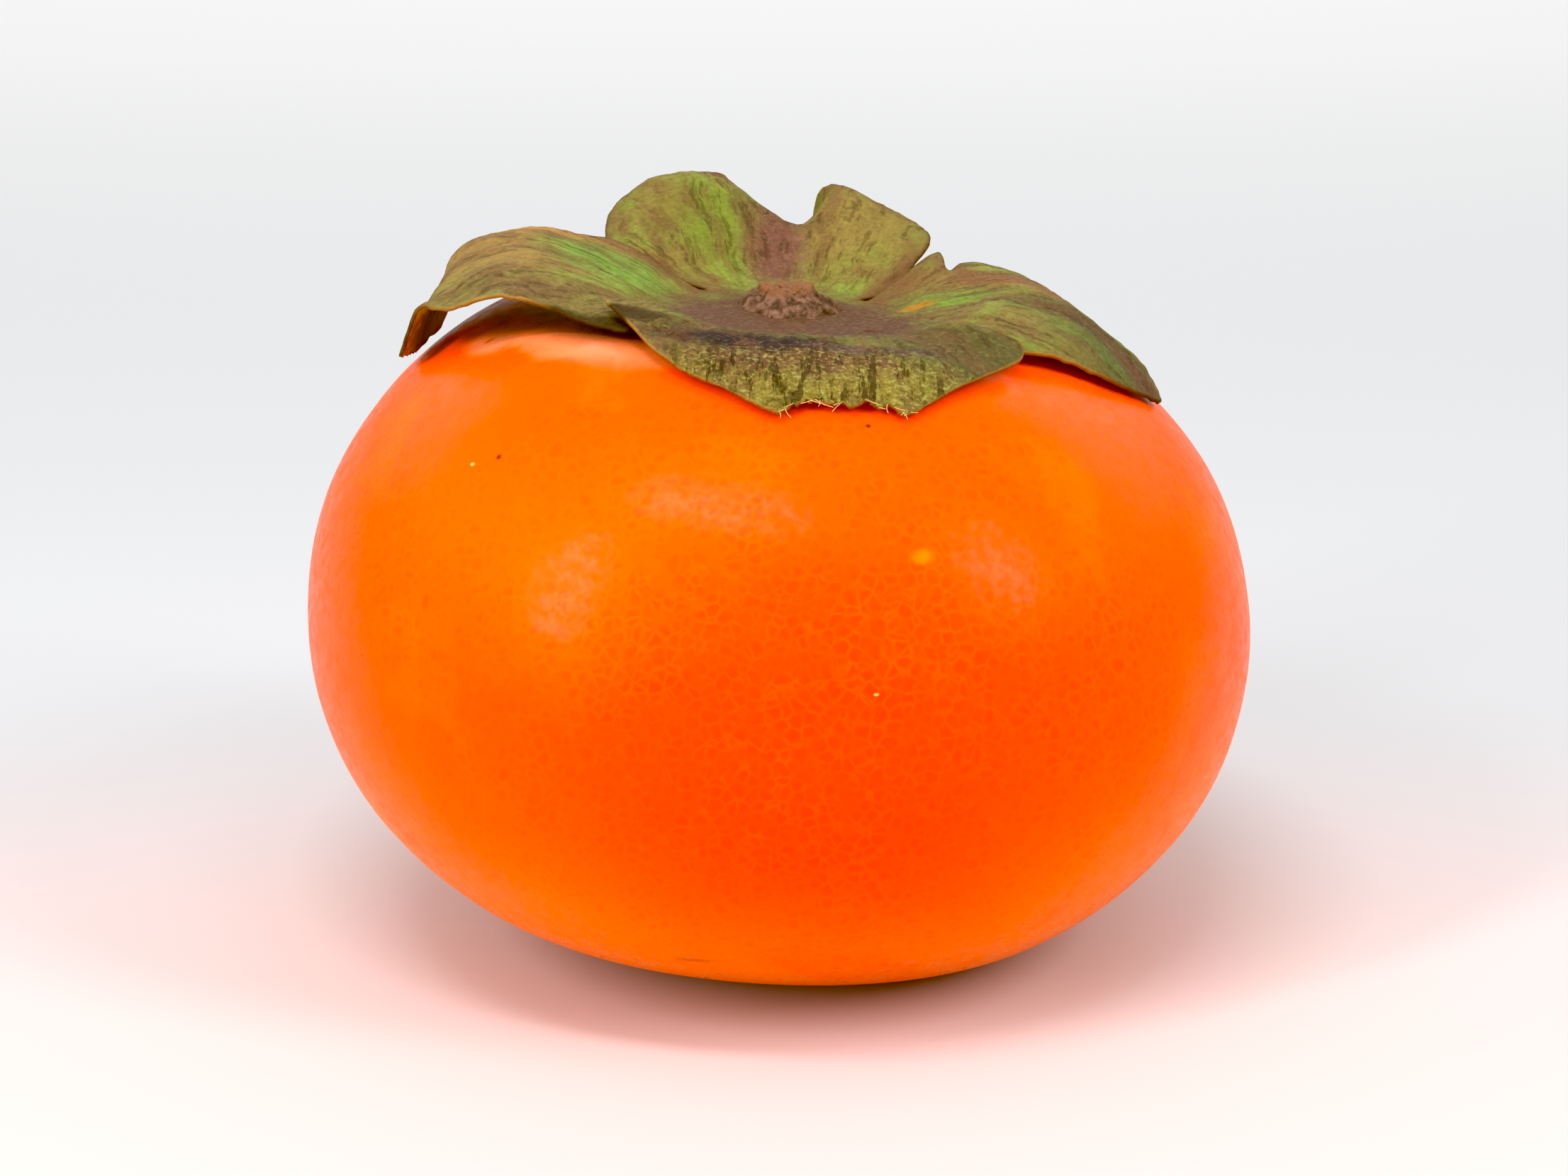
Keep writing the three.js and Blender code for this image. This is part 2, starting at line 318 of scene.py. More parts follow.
camera = {
    "lens": 74.25,  # the lens and the sensor's width are in millimetres
    "sensor": 36,
    "distance": 0.270,
    "elevation": 16,  # degrees
    "aimHeight": 0.0287,
    "x": 0.00038,
    "nearest": 0.01,
    "farthest": 20,
}


def makeCamera():
    data = bpy.data.cameras.new("camera")
    data.lens = camera["lens"]
    data.sensor_width = camera["sensor"]
    data.clip_start = camera["nearest"]
    data.clip_end = camera["farthest"]
    holder = bpy.data.objects.new("camera", data)
    bpy.context.scene.collection.objects.link(holder)
    tilt = radians(camera["elevation"])
    back = Vector((0, -cos(tilt), sin(tilt))) * camera["distance"]
    holder.location = Vector((camera["x"], 0, camera["aimHeight"])) + back
    holder.rotation_euler = (pi / 2 - tilt, 0, 0)
    bpy.context.scene.camera = holder


makeCamera()
print("camera placed")


# The skin of the fruit. In this and the next dictionaries a scale is a number of features per millimetre.
# A ramp gives the two values that it runs between, and then what it starts and ends at, if not 0 and 1.

skin = {
    "levels": 2,
    "swell": 0.16,  # how far the low swells stand in and out
    "swellSize": 15,  # and how far apart they are
    "fineSwell": 0.4,  # the finer swells' size and height, as shares of the others'
    "swellFrom": 1.0,  # the swells grow between these heights, so the resting place stays flat
    "swellTo": 8.0,
    "dimpleX": -1.1,
    "nubReach": 0.78,  # the dry tip left by the flower, in the dimple below
    "nubDrop": 1.1,
    "nubTop": 8,  # only the skin below this height takes part in it

    "low": paint(255, 113, 0),
    "warm": paint(255, 77, 0),
    "golden": paint(255, 90, 0),
    "cell": paint(232, 40, 0),
    "web": paint(255, 100, 4),
    # a pale waxy bloom, with a painted reflection of the bright surroundings in it
    "bloomAndReflection": paint(234, 142, 98),
    "speck": paint(110, 40, 12),

    "ior": 1.45,
    "specular": 0.23,
    "shine": (1.0, 0.7, 0.5, 1.0),
    "scatter": 0.12,
    "scatterReach": 2,
    "scatterShares": (1.0, 0.25, 0.05),  # how much of that reach red, green and blue have
    "roughScale": 0.8,
    "roughRamp": (0.35, 0.65, 0.27, 0.42),
    "bumpScale": 0.9,
    "bumpStrength": 0.3,
    "bumpHeight": 0.06,
    "warmScale": 0.06,
    "warmDrift": 16.0,  # how far the border between low and warm colour wanders up and down
    "warmRamp": (16.0, 38.0),
    "goldenScale": 0.1,
    "goldenRamp": (0.5, 0.75),
    "bloomAndReflectionScale": 0.4,
    "bloomAndReflectionRamp": (51.5 + noiseMiddle, 52.4 + noiseMiddle, 0.0, 0.6),  # heights, with noise added
    "cellScale": 1.0,
    "cellShakeScale": 1.6,
    "cellShake": 0.5,
    "cellRamp": (0.06, 0.3),
    "cellStrength": 0.36,
    "webRamp": (0.0, 0.12, 1.0, 0.0),
    "webStrength": 0.24,
    "deepStrength": 0.5,  # how much more the cells show in the deep patch
    "shownScale": 0.09,  # they come and go broadly,
    "shownRamp": (0.4, 0.65, 0.2, 0.6),
    "patchyScale": 0.7,  # and again finely
    "patchyRamp": (0.35, 0.65, 0.3, 1.2),
    "speckScale": 0.16,
    "speckRamp": (0.006, 0.018, 0.5, 0.0),
}

# Broad patches on the skin: middle and reach, and colour.
skinPatches = [
    # A deep red-orange patch on the front: partly the skin's own tone and partly painted shade, for the dim
    # light and dark reflection there.
    {"middle": (3, -36, 26), "reach": (21, 14, 15), "colour": (255, 58, 0), "soft": 0.75, "ragged": 0.06,
     "grain": 0.1},
    # A golden patch on the upper left: partly the skin's own tone and partly painted light, where the left
    # window lights the skin most.
    {"middle": (-19.6, -31, 40), "reach": (12, 12, 7), "colour": (255, 92, 0), "soft": 0.8, "ragged": 0.1,
     "grain": 0.12, "strength": 0.6},
    # A pale patch on the left shoulder under the lobe: waxy bloom, with a painted reflection of the bright
    # surroundings.
    {"middle": (-22.5, -9.5, 51.6), "reach": (4.5, 2.6, 0.9), "colour": (238, 148, 108), "soft": 0.6,
     "strength": 0.6},
    {"middle": (30.5, -24.9, 29.1), "reach": (2.4, 2.4, 1.8), "colour": (236, 78, 8), "soft": 0.8,
     "strength": 0.4},
]

# Painted shade on the skin close under the calyx. Round the stem it is painted shade and dry residue too.
# Under the left lobe it is a band of painted shadow and painted reflection of the lobe's dark underside.
paintedShadeUnderCalyx = [
    {"middle": middle, "reach": reach, "colour": (84, 44, 36), "soft": 0.4, "ragged": 0.1, "strength": 0.8}
    for middle, reach in (
        ((0.5, 0, 53), (12.5, 12.5, 4)),
        ((-27.2, -3.4, 50.0), (2.4, 1.3, 1.6)),
        ((-23.6, -4.6, 51.9), (3.2, 3.0, 1.6)),
        ((-19.4, -6.8, 52.8), (4.0, 4.4, 1.6)),
        ((-15.0, -9.8, 53.0), (4.4, 4.8, 1.6)),
        ((-11.0, -11.6, 53.0), (4.4, 4.6, 1.6)),
    )
]

# Where the skin is deep, and the cells under it show most.
deepSkin = {"middle": (4, -36, 27), "reach": (24, 16, 17), "soft": 0.8, "ragged": 0.15, "grain": 0.1}

# Small marks on the skin: middle and reach, and colour.
skinMarks = [
    {"middle": (10.4, -33.3, 40.6), "reach": (0.65, 0.65, 0.45), "colour": (255, 132, 10), "soft": 0.8,
     "ragged": 0.5, "grain": 1.5, "strength": 0.6},
    {"middle": (6.6, -26.1, 48.6), "reach": (0.24, 0.24, 0.24), "colour": (96, 30, 10)},
    {"middle": (-20.9, -24.3, 45.8), "reach": (0.24, 0.24, 0.24), "colour": (110, 34, 10)},
    {"middle": (-23.0, -23.5, 45.1), "reach": (0.24, 0.2, 0.13), "colour": (255, 176, 90), "strength": 0.8},
    {"middle": (7.0, -37.9, 31.6), "reach": (0.2, 0.2, 0.12), "colour": (255, 190, 110), "strength": 0.8},
    {"middle": (-26.3, -27.8, 35.5), "reach": (0.32, 0.4, 0.7), "colour": (206, 70, 6), "grain": 1.5,
     "strength": 0.8},
    {"middle": (-35.7, -16.2, 24.9), "reach": (0.4, 0.3, 0.7), "colour": (190, 80, 20), "grain": 1.5,
     "strength": 0.8},
    {"middle": (-22.8, -9.5, 51.7), "reach": (0.5, 0.28, 0.4), "colour": (170, 76, 30), "grain": 1.5,
     "strength": 0.7},
    {"middle": (-6.4, -29.7, 7.7), "reach": (1.4, 0.9, 0.24), "colour": (170, 60, 20), "grain": 1.5,
     "strength": 0.6},
]


def makeSkinMaterial():
    material, tree, shader = newMaterial("waxy orange skin", {
        "IOR": skin["ior"],
        "Specular IOR Level": skin["specular"],
        "Specular Tint": skin["shine"],
        "Subsurface Weight": skin["scatter"],
        "Subsurface Scale": skin["scatterReach"] * mm,
        "Subsurface Radius": skin["scatterShares"],
    })
    place = placeInMillimetres(tree)
    height = partsOf(tree, place)["Z"]
    drift = times(tree, noiseAt(tree, place, skin["warmScale"]), skin["warmDrift"])
    warm = ramp(tree, plus(tree, height, drift), *skin["warmRamp"])
    colour = mix(tree, warm, skin["low"], skin["warm"])
    golden = ramp(tree, noiseAt(tree, place, skin["goldenScale"], 3.0, 0.6), *skin["goldenRamp"])
    colour = mix(tree, golden, colour, skin["golden"])
    colour = paintPatches(tree, place, colour, skinPatches)
    # A pale band round the top, where the calyx sits: partly a waxy bloom and partly a painted reflection of
    # the bright surroundings.
    bloomAndReflectionShare = ramp(tree, plus(tree, height, noiseAt(tree, place, skin["bloomAndReflectionScale"], 3.0)), *skin["bloomAndReflectionRamp"])
    colour = mix(tree, bloomAndReflectionShare, colour, skin["bloomAndReflection"])
    # Painted shade under the calyx goes on over the pale band.
    colour = paintPatches(tree, place, colour, paintedShadeUnderCalyx)

    # Small darker cells under the skin, with a paler web between them.
    shaken = addNode(tree, "TexNoise", {"Vector": place, "Scale": skin["cellShakeScale"]}).outputs["Color"]
    bent = join(tree, "ADD", scaleBy(tree, shaken, skin["cellShake"]), place)
    edge = addNode(tree, "TexVoronoi", {"Vector": bent, "Scale": skin["cellScale"]},
                   feature="DISTANCE_TO_EDGE").outputs["Distance"]
    deep = times(tree, patchMask(tree, place, deepSkin), skin["deepStrength"])
    shown = ramp(tree, noiseAt(tree, place, skin["shownScale"]), *skin["shownRamp"])
    patchy = ramp(tree, noiseAt(tree, place, skin["patchyScale"], 3.0), *skin["patchyRamp"])
    shown = times(tree, plus(tree, deep, shown), patchy)
    cell = times(tree, ramp(tree, edge, *skin["cellRamp"]), times(tree, shown, skin["cellStrength"]))
    colour = mix(tree, cell, colour, skin["cell"])
    web = times(tree, ramp(tree, edge, *skin["webRamp"]), times(tree, shown, skin["webStrength"]))
    colour = mix(tree, web, colour, skin["web"])

    colour = paintPatches(tree, place, colour, skinMarks)
    spots = addNode(tree, "TexVoronoi", {"Vector": place, "Scale": skin["speckScale"]}).outputs["Distance"]
    colour = mix(tree, ramp(tree, spots, *skin["speckRamp"]), colour, skin["speck"])
    feed(tree, shader.inputs["Base Color"], colour)

    rough = ramp(tree, noiseAt(tree, place, skin["roughScale"], 4.0, 0.7), *skin["roughRamp"])
    feed(tree, shader.inputs["Roughness"], rough)
    setBump(tree, shader, noiseAt(tree, place, skin["bumpScale"]), skin["bumpStrength"], skin["bumpHeight"])
    return material


def makeSkin():
    piece = copyOfNode("fruit", "skin")
    subdivide(piece, skin["levels"])

    def swell(place, normal, index):
        low = roughNoise(place, skin["swellSize"], skin["fineSwell"], skin["fineSwell"])
        moved = normal * low * skin["swell"] * ease(skin["swellFrom"], skin["swellTo"], place.z)
        if place.z < skin["nubTop"]:
            away = hypot(place.x - skin["dimpleX"], place.y)
            moved.z -= skin["nubDrop"] * bell(away, skin["nubReach"])
        moved.z = max(moved.z, -place.z)  # nothing sinks into the floor
        return moved

    moveVertices(piece, swell)
    finishPiece(piece, "fruit", "skin", makeSkinMaterial())


makeSkin()
print("skin made")


# The calyx: one leathery sheet with a disc round the stem and four lobes

calyx = {
    "levels": 2,
    "thickness": 0.35,
    "wallAngle": 70,  # the sheet's walls stand at more than this to its faces, degrees
    "lobeFrom": 6,  # the disc passes into the lobes between these distances from the stem
    "lobeTo": 14,
    "ribs": 9,  # how closely the ribs stand round the stem
    "ribStretch": 0.07,
    "ribDepth": 0.14,
    "grooves": 1.7,  # how much more closely the grooves stand than the ribs
    "grooveWidth": 0.06,
    "grooveDepth": 0.16,
    "bumps": 0.1,
    "bumpSize": 0.9,
    "waves": 0.28,
    "waveSize": 6.0,

    "tornFromX": -0.6,  # where the front lobe's edge is torn, from the stem
    "tornToX": 10.3,
    "tornY": -24.0,
    "tornReach": 1.0,  # how far in it is jagged
    "tornDepth": 0.5,
    "tornLift": 0.3,
    "jags": 1.1,  # how closely the jags and the fine ones stand
    "fineJags": 2.9,
    "fineJagDepth": 0.8,

    "olive": paint(118, 100, 56),
    "green": paint(120, 134, 58),
    "brown": paint(100, 64, 50),
    "dark": paint(46, 34, 28),
    # the grains' yellow-green, bright as a painted highlight on their raised tops
    "grain": paint(172, 170, 88),
    "tan": paint(158, 118, 66),
    "rim": paint(74, 52, 32),
    "under": paint(190, 206, 150),
    "underDark": paint(142, 152, 106),

    "specular": 0.14,
    "greenScale": 0.22,
    "greenRamp": (0.38, 0.66),
    "lobeRamp": (7.0, 15.0, 0.25, 1.0),  # streaks are weaker on the disc, by distance from the stem
    "brownRamp": (0.49, 0.6),
    "darkRamp": (0.52, 0.64),
    "streakStrength": 0.5,
    "mottleScale": 0.7,
    "mottleRamp": (0.3, 0.7, 0.25, 0.0),
    "grainScale": 2.4,
    "grainRamp": (0.5, 0.68),
    "grainShare": (0.0, 1.0, 0.1, 0.5),  # elsewhere, and on the front lobe
    "gapRamp": (0.3, 0.47, 1.0, 0.0),
    "gapShare": (0.0, 1.0, 0.25, 0.6),
    "crackStretch": (1.3, 0.25, 0.25),
    "crackRamp": (0.53, 0.62),
    "crackStrength": 0.75,
    "rimWander": 3.0,
    "rimRamp": (1.6, 4.0, 0.55, 0.0),
    "rimBehind": (-12.0, 0.0),  # the browner rim fades towards the front
    "dryWander": 0.6,
    "dryRamp": (0.25, 0.55, 1.0, 0.0),
    "dryFrom": (11.0, 15.0),  # the edge is dry on the lobes only, and not where they join
    "dryStrength": 0.7,
    "tanRamp": (-4.0, -12.0),  # and it turns tan towards the front
    "roughRamp": (0.3, 0.7, 0.82, 0.6),
    "reliefShare": (0.0, 1.0, 0.6, 2.2),
    "bumpStrength": 0.9,
    "bumpHeight": 0.2,

    "underRoughness": 0.75,
    "underSpecular": 0.2,
    "underRibRamp": (0.4, 0.7),
    "underRimRamp": (0.0, 0.7, 0.6, 0.0),
    "underBumpStrength": 0.6,
    "underBumpHeight": 0.2,
}

# Patches of colour on the calyx: middle and reach from the stem, and colour.
calyxPatches = [
    {"middle": (-23, 3, 56.5), "reach": (8, 9, 6), "colour": (140, 110, 63), "soft": 0.6},
    {"middle": (-21, 10, 57), "reach": (9, 2.6, 6), "colour": (173, 127, 67), "soft": 0.6, "strength": 0.9},
    {"middle": (-14.5, 3.5, 55.6), "reach": (5.5, 4.5, 6), "colour": (110, 138, 60), "soft": 0.5},
    {"middle": (-19, -10, 55.6), "reach": (9, 3.0, 6), "colour": (112, 89, 57), "soft": 0.6, "strength": 0.8},
    {"middle": (-6.5, 16.5, 57), "reach": (5.4, 4.5, 6), "colour": (108, 118, 48), "soft": 0.6},
    {"middle": (-11, 17, 57), "reach": (2.5, 6, 6), "colour": (117, 80, 55), "soft": 0.6, "strength": 0.5},
    {"middle": (5.6, 17.4, 57), "reach": (5, 5, 6), "colour": (126, 106, 58), "soft": 0.6},
    {"middle": (-0.8, 15, 55.8), "reach": (2.6, 8, 6), "colour": (108, 69, 61), "soft": 0.6},
    {"middle": (13.5, 3.9, 52.8), "reach": (4, 3.4, 4), "colour": (98, 126, 50), "soft": 0.5,
     "strength": 0.9},
    {"middle": (20, 6.5, 53.4), "reach": (9, 3.2, 5), "colour": (124, 76, 56), "soft": 0.6,
     "strength": 0.85},
    {"middle": (25, -1.0, 51.0), "reach": (8, 3.0, 5), "colour": (78, 70, 46), "soft": 0.6},
    {"middle": (27, -6.0, 48.0), "reach": (8, 3.5, 5), "colour": (74, 86, 50), "soft": 0.6, "strength": 0.8},
    {"middle": (29, -3.5, 47.6), "reach": (2.5, 2.5, 3), "colour": (82, 52, 51), "soft": 0.6,
     "strength": 0.8},
    {"middle": (0.4, -4.5, 52), "reach": (11.5, 13, 5), "colour": (89, 60, 51), "soft": 0.28,
     "ragged": 0.12, "grain": 0.22},
    {"middle": (7, -9, 52), "reach": (4.5, 5, 5), "colour": (84, 58, 56), "soft": 0.7, "ragged": 0.3,
     "strength": 0.7},
    {"middle": (-7, -7, 52), "reach": (3.5, 6, 5), "colour": (92, 62, 60), "soft": 0.7, "ragged": 0.3,
     "strength": 0.6},
    {"middle": (10.8, 2.0, 52.2), "reach": (1.4, 1.0, 2), "colour": (170, 112, 36), "soft": 0.6,
     "strength": 0.9},
    {"middle": (2, -24, 52), "reach": (11, 5.2, 5), "colour": (130, 114, 54), "soft": 0.4, "ragged": 0.15},
    {"middle": (14.5, -16, 52), "reach": (6, 5, 5), "colour": (80, 74, 46), "soft": 0.5},
    {"middle": (0, -20.5, 52.6), "reach": (9, 2.6, 3), "colour": (103, 69, 53), "soft": 0.6,
     "ragged": 0.35, "grain": 0.5, "strength": 0.85},
    {"middle": (-3.5, -17.4, 53.4), "reach": (7.6, 2.3, 2.4), "colour": (38, 25, 37), "soft": 0.5,
     "ragged": 0.3, "grain": 0.8},
    {"middle": (6.5, -17.8, 52.8), "reach": (5.5, 1.0, 2.4), "colour": (82, 54, 63), "soft": 0.6,
     "ragged": 0.35, "grain": 0.7, "strength": 0.8},
]

# The left lobe's lower margin, which curls under: brown and dry, and darkened further with painted shade.
paintedShadeOnCurledMargin = [
    {"middle": (-15, -14.6, 54), "reach": (6.8, 2.2, 3), "colour": (46, 30, 24), "soft": 0.25, "ragged": 0.1,
     "grain": 0.6, "strength": 0.9},
]

# Where the front lobe is rough.
roughFront = {"middle": (3, -24, 51.5), "reach": (13, 6.5, 5), "soft": 0.35, "ragged": 0.1, "grain": 0.3}


def placeFromStem(tree):
    return join(tree, "SUBTRACT", placeInMillimetres(tree), (stemX, 0, 0))


def makeCalyxMaterial():
    material, tree, shader = newMaterial("leathery green calyx", {"Specular IOR Level": calyx["specular"]})
    place = placeFromStem(tree)
    ribs = useGroup(tree, ribGroup, Place=place)
    broad = noiseAt(tree, place, calyx["greenScale"], 3.0, 0.6)
    colour = mix(tree, ramp(tree, broad, *calyx["greenRamp"]), calyx["olive"], calyx["green"])
    colour = paintPatches(tree, place, colour, calyxPatches)

    # Brown and dark streaks along the ribs, fading on the disc, and uneven mottling.
    reach = lengthOf(tree, join(tree, "MULTIPLY", place, (1, 1, 0)))
    onLobe = ramp(tree, reach, *calyx["lobeRamp"])
    streaks = times(tree, onLobe, calyx["streakStrength"])
    brown = times(tree, ramp(tree, ribs["Broad"], *calyx["brownRamp"]), streaks)
    colour = mix(tree, brown, colour, calyx["brown"])
    dark = times(tree, ramp(tree, ribs["Fine"], *calyx["darkRamp"]), streaks)
    colour = mix(tree, dark, colour, calyx["dark"])
    mottle = ramp(tree, noiseAt(tree, place, calyx["mottleScale"], 4.0, 0.7), *calyx["mottleRamp"])
    colour = mix(tree, mottle, colour, calyx["dark"])

    # The front lobe is rough: bright grains, lightened as painted highlights where they stand up, dark gaps
    # between them that are partly painted shade, and cracks that run down it.
    front = patchMask(tree, place, roughFront)
    grain = noiseAt(tree, place, calyx["grainScale"], 3.0, 0.7)
    bright = times(tree, ramp(tree, grain, *calyx["grainRamp"]), ramp(tree, front, *calyx["grainShare"]))
    colour = mix(tree, bright, colour, calyx["grain"])
    gaps = times(tree, ramp(tree, grain, *calyx["gapRamp"]), ramp(tree, front, *calyx["gapShare"]))
    colour = mix(tree, gaps, colour, calyx["dark"])
    narrow = join(tree, "MULTIPLY", place, calyx["crackStretch"])
    crack = times(tree, ramp(tree, noiseAt(tree, narrow, 1.0, 3.0, 0.65), *calyx["crackRamp"]), front)
    colour = mix(tree, times(tree, crack, calyx["crackStrength"]), colour, calyx["dark"])

    # The dry rim: tan in front, dark behind, and browner for a little way in.
    margin = addNode(tree, "Attribute", attribute_name="margin").outputs["Fac"]
    depth = partsOf(tree, place)["Y"]
    nearRim = ramp(tree, plus(tree, margin, times(tree, broad, calyx["rimWander"])), *calyx["rimRamp"])
    nearRim = times(tree, nearRim, ramp(tree, depth, *calyx["rimBehind"]))
    colour = mix(tree, nearRim, colour, calyx["brown"])
    dry = ramp(tree, plus(tree, margin, times(tree, grain, calyx["dryWander"])), *calyx["dryRamp"])
    dry = times(tree, dry, ramp(tree, reach, *calyx["dryFrom"]))
    rim = mix(tree, ramp(tree, depth, *calyx["tanRamp"]), calyx["rim"], calyx["tan"])
    colour = mix(tree, times(tree, dry, calyx["dryStrength"]), colour, rim)
    colour = paintPatches(tree, place, colour, paintedShadeOnCurledMargin)
    feed(tree, shader.inputs["Base Color"], colour)
    feed(tree, shader.inputs["Roughness"], ramp(tree, grain, *calyx["roughRamp"]))

    relief = times(tree, grain, ramp(tree, front, *calyx["reliefShare"]))
    relief = minus(tree, relief, crack)
    relief = minus(tree, relief, times(tree, ribs["Fine"], onLobe))
    setBump(tree, shader, relief, calyx["bumpStrength"], calyx["bumpHeight"])
    return material


# The sheet's underside: its own paler grey-green, painted paler still as painted light, for the dim orange
# light that reaches it from the skin.
def makeUndersideMaterial():
    material, tree, shader = newMaterial("dry underside", {
        "Roughness": calyx["underRoughness"],
        "Specular IOR Level": calyx["underSpecular"],
    })
    fine = useGroup(tree, ribGroup, Place=placeFromStem(tree))["Fine"]
    dark = ramp(tree, fine, *calyx["underRibRamp"])
    colour = mix(tree, dark, calyx["under"], calyx["underDark"])
    margin = addNode(tree, "Attribute", attribute_name="margin").outputs["Fac"]
    colour = mix(tree, ramp(tree, margin, *calyx["underRimRamp"]), colour, calyx["tan"])
    feed(tree, shader.inputs["Base Color"], colour)
    setBump(tree, shader, fine, calyx["underBumpStrength"], calyx["underBumpHeight"])
    return material


# Keeps only the upper face of the sheet, which is all that can be reached without crossing a wall's edge.
def keepUpperFace(piece):
    mesh = piece.data
    bpy.ops.object.mode_set(mode="EDIT")
    bpy.ops.mesh.select_mode(type="FACE")
    bpy.ops.mesh.select_all(action="DESELECT")
    bpy.ops.object.mode_set(mode="OBJECT")
    start = min(mesh.polygons, key=lambda face: hypot(face.center.x, face.center.y) - face.center.z)
    start.select = True
    bpy.ops.object.mode_set(mode="EDIT")
    bpy.ops.mesh.faces_select_linked_flat(sharpness=radians(calyx["wallAngle"]))
    bpy.ops.mesh.select_all(action="INVERT")
    bpy.ops.mesh.delete(type="FACE")
    bpy.ops.object.mode_set(mode="OBJECT")


# How far each vertex is from the sheet's edge, in millimetres, kept for the materials.
def measureMargin(piece):
    mesh = piece.data
    faceCount = {}
    for face in mesh.polygons:
        for key in face.edge_keys:
            faceCount[key] = faceCount.get(key, 0) + 1
    border = {index for key, count in faceCount.items() if count == 1 for index in key}
    tree = KDTree(len(border))
    for index in border:
        tree.insert(mesh.vertices[index].co, index)
    tree.balance()
    margins = [tree.find(vertex.co)[2] / mm for vertex in mesh.vertices]
    mesh.attributes.new("margin", "FLOAT", "POINT").data.foreach_set("value", margins)
    return margins


def isTorn(place):
    return calyx["tornFromX"] < place.x - stemX < calyx["tornToX"] and place.y < calyx["tornY"]


# Returns the places along the torn edge.
def makeCalyx():
    piece = copyOfNode("calyx", "calyx_sheet")
    keepUpperFace(piece)
    subdivide(piece, calyx["levels"])
    margins = measureMargin(piece)
    otherNoise = Vector((5, 5, 5))  # so that the grooves don't follow the ribs

    def wrinkle(place, normal, index):
        x = place.x - stemX
        reach = hypot(x, place.y)
        ring = Vector((x, place.y, 0)).normalized() * calyx["ribs"]
        ring.z = reach * calyx["ribStretch"]
        onLobe = ease(calyx["lobeFrom"], calyx["lobeTo"], reach)
        wave = noise.noise(place / calyx["waveSize"]) * calyx["waves"]
        rib = noise.noise(ring) * calyx["ribDepth"]
        line = bell(noise.noise(ring * calyx["grooves"] + otherNoise), calyx["grooveWidth"])
        groove = -calyx["grooveDepth"] * line
        bump = noise.noise(place / calyx["bumpSize"]) * calyx["bumps"]
        moved = normal * ((wave + rib + groove) * onLobe + bump)
        if isTorn(place):
            torn = bell(margins[index], calyx["tornReach"])
            jag = noise.noise(Vector((x * calyx["jags"], 7, 0)))
            jag += calyx["fineJagDepth"] * noise.noise(Vector((x * calyx["fineJags"], 2, 0)))
            moved += Vector((0, 1, calyx["tornLift"])) * calyx["tornDepth"] * jag * torn
        return moved

    moveVertices(piece, wrinkle)
    tornPlaces = [vertex.co.copy() for vertex, margin in zip(piece.data.vertices, margins)
                  if margin == 0 and isTorn(vertex.co / mm)]

    # The underside can only take its own material where the sheet has both before it is thickened.
    piece.data.materials.append(makeCalyxMaterial())
    piece.data.materials.append(makeUndersideMaterial())
    thicken = piece.modifiers.new("thicken", "SOLIDIFY")
    thicken.thickness = calyx["thickness"] * mm
    thicken.offset = -1
    thicken.material_offset = 1
    thicken.material_offset_rim = 0
    pickOnly(piece)
    bpy.ops.object.modifier_apply(modifier=thicken.name)
    finishPiece(piece, "calyx", "calyx")
    return tornPlaces


# Pale fibres that hang from the torn edge of the front lobe.
fibres = {
    "count": 18,
    "seed": 4,
    "radius": 0.03,
    "shortest": 0.5,
    "longest": 1.5,
    "forward": 0.8,
    "down": 0.5,
    "up": 0.1,
    "bend": 0.5,
    "bendUp": 0.4,
    "roughness": 0.7,
    "colour": (200, 160, 110),
}


def makeFibres(tornPlaces):
    chance = random.Random(fibres["seed"])
    pieces = []
    for start in chance.sample(tornPlaces, min(fibres["count"], len(tornPlaces))):
        bpy.ops.curve.primitive_nurbs_path_add()
        path = bpy.context.object
        path.data.bevel_depth = fibres["radius"] * mm
        path.data.bevel_resolution = 1
        path.data.resolution_u = 4
        length = chance.uniform(fibres["shortest"], fibres["longest"])
        way = Vector((chance.uniform(-1, 1), -fibres["forward"],
                      chance.uniform(-fibres["down"], fibres["up"]))).normalized()
        side = Vector((chance.uniform(-1, 1), 0,
                       chance.uniform(-fibres["bendUp"], fibres["bendUp"]))) * fibres["bend"]
        points = path.data.splines[0].points
        for step, point in enumerate(points):
            share = step / (len(points) - 1)
            place = start + (way * share + side * share * share) * length * mm
            point.co = (*place, 1)
        pickOnly(path)
        bpy.ops.object.convert(target="MESH")
        pieces.append(bpy.context.object)
    pickOnly(pieces[0])
    for piece in pieces:
        piece.select_set(True)
    bpy.ops.object.join()
    whole = bpy.context.object
    whole.name = whole.data.name = "torn_fibres"
    looks = {"Roughness": fibres["roughness"], "Base Color": paint(*fibres["colour"])}
    finishPiece(whole, "calyx", "calyx", newMaterial("pale fibre", looks)[0])


makeFibres(makeCalyx())
print("calyx made")


# The broken stub of the stem

stub = {
    "levels": 2,
    "lumps": 0.32,
    "lumpSize": 0.9,
    "finerLumps": 0.4,  # the finer lumps' size and height, as shares of the others'
    "weakerLumps": 0.6,
    "footHeight": 0.7,  # below this height the stub spreads out into the disc
    "spread": 0.5,
    "ragged": 0.7,
    "raggedCount": 2.3,
    "sink": 0.9,

    "roughness": 0.9,
    "specular": 0.2,
    "dark": paint(66, 46, 40),
    "pale": paint(132, 96, 80),
    "top": paint(132, 88, 64),
    "grainScale": 1.1,
    "grainRamp": (0.35, 0.65),
    "topRamp": (54.0, 54.9),  # heights, with the grain added
    "bumpScale": 2.5,
    "bumpStrength": 1.0,
    "bumpHeight": 0.3,
}


